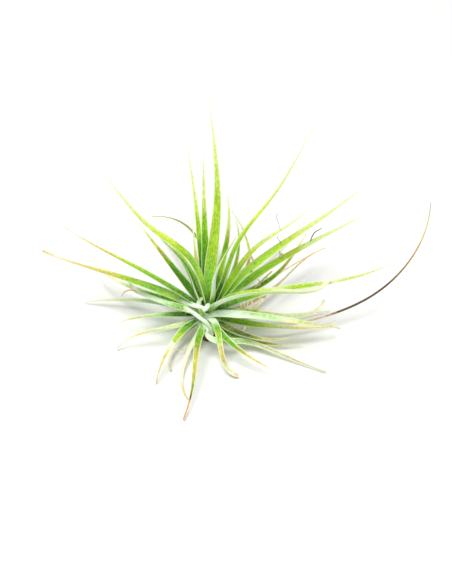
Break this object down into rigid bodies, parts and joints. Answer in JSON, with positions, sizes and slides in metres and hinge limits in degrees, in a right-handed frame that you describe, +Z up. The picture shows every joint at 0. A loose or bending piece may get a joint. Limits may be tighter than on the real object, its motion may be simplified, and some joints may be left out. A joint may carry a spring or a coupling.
{
  "type": "stricta air plant",
  "caption": "Rootless air plant rosette of narrow channelled leaves that arch out of a short stem, with thin dried leaves below.",
  "frame": {"origin": "centre of the stem's flat cut foot, on the surface that the plant stands on", "axes": "+Z up along the stem, +X to the right along the rosette's width, -Y towards the front, where the leaves are shortest"},
  "size_m": [0.2023, 0.1369, 0.1089],
  "materials": {
    "green_leaf": "satin",
    "dry_leaf": "matte",
    "stem_bark": "matte"
  },
  "bodies": {
    "root": {"stem": "stem_bark", "leaf_inner_1": "green_leaf", "leaf_inner_2": "green_leaf", "leaf_inner_3": "green_leaf", "leaf_inner_4": "green_leaf", "leaf_inner_5": "green_leaf", "leaf_inner_6": "green_leaf", "leaf_back_1": "green_leaf", "leaf_back_2": "green_leaf", "leaf_back_3": "green_leaf", "leaf_back_4": "green_leaf", "leaf_back_5": "green_leaf", "leaf_back_6": "green_leaf", "leaf_right_1": "green_leaf", "leaf_right_2": "green_leaf", "leaf_right_3": "green_leaf", "leaf_right_4": "green_leaf", "leaf_right_5": "green_leaf", "leaf_right_6": "green_leaf", "leaf_right_7": "green_leaf", "leaf_right_8": "green_leaf", "leaf_left_1": "green_leaf", "leaf_left_2": "green_leaf", "leaf_left_3": "green_leaf", "leaf_left_4": "green_leaf", "leaf_left_5": "green_leaf", "leaf_left_6": "green_leaf", "leaf_left_7": "green_leaf", "leaf_front_1": "green_leaf", "leaf_front_2": "green_leaf", "leaf_front_3": "green_leaf", "leaf_front_4": "green_leaf", "leaf_front_5": "green_leaf", "leaf_front_6": "green_leaf", "leaf_front_7": "green_leaf", "leaf_under_1": "green_leaf", "leaf_under_2": "green_leaf", "leaf_under_3": "green_leaf", "leaf_under_4": "green_leaf", "leaf_under_5": "green_leaf", "leaf_dry_1": "dry_leaf", "leaf_dry_2": "dry_leaf", "leaf_dry_3": "dry_leaf", "leaf_dry_4": "dry_leaf", "leaf_dry_5": "dry_leaf", "leaf_dry_6": "dry_leaf", "leaf_dry_7": "dry_leaf", "leaf_dry_8": "dry_leaf"}
  },
  "joints": []
}
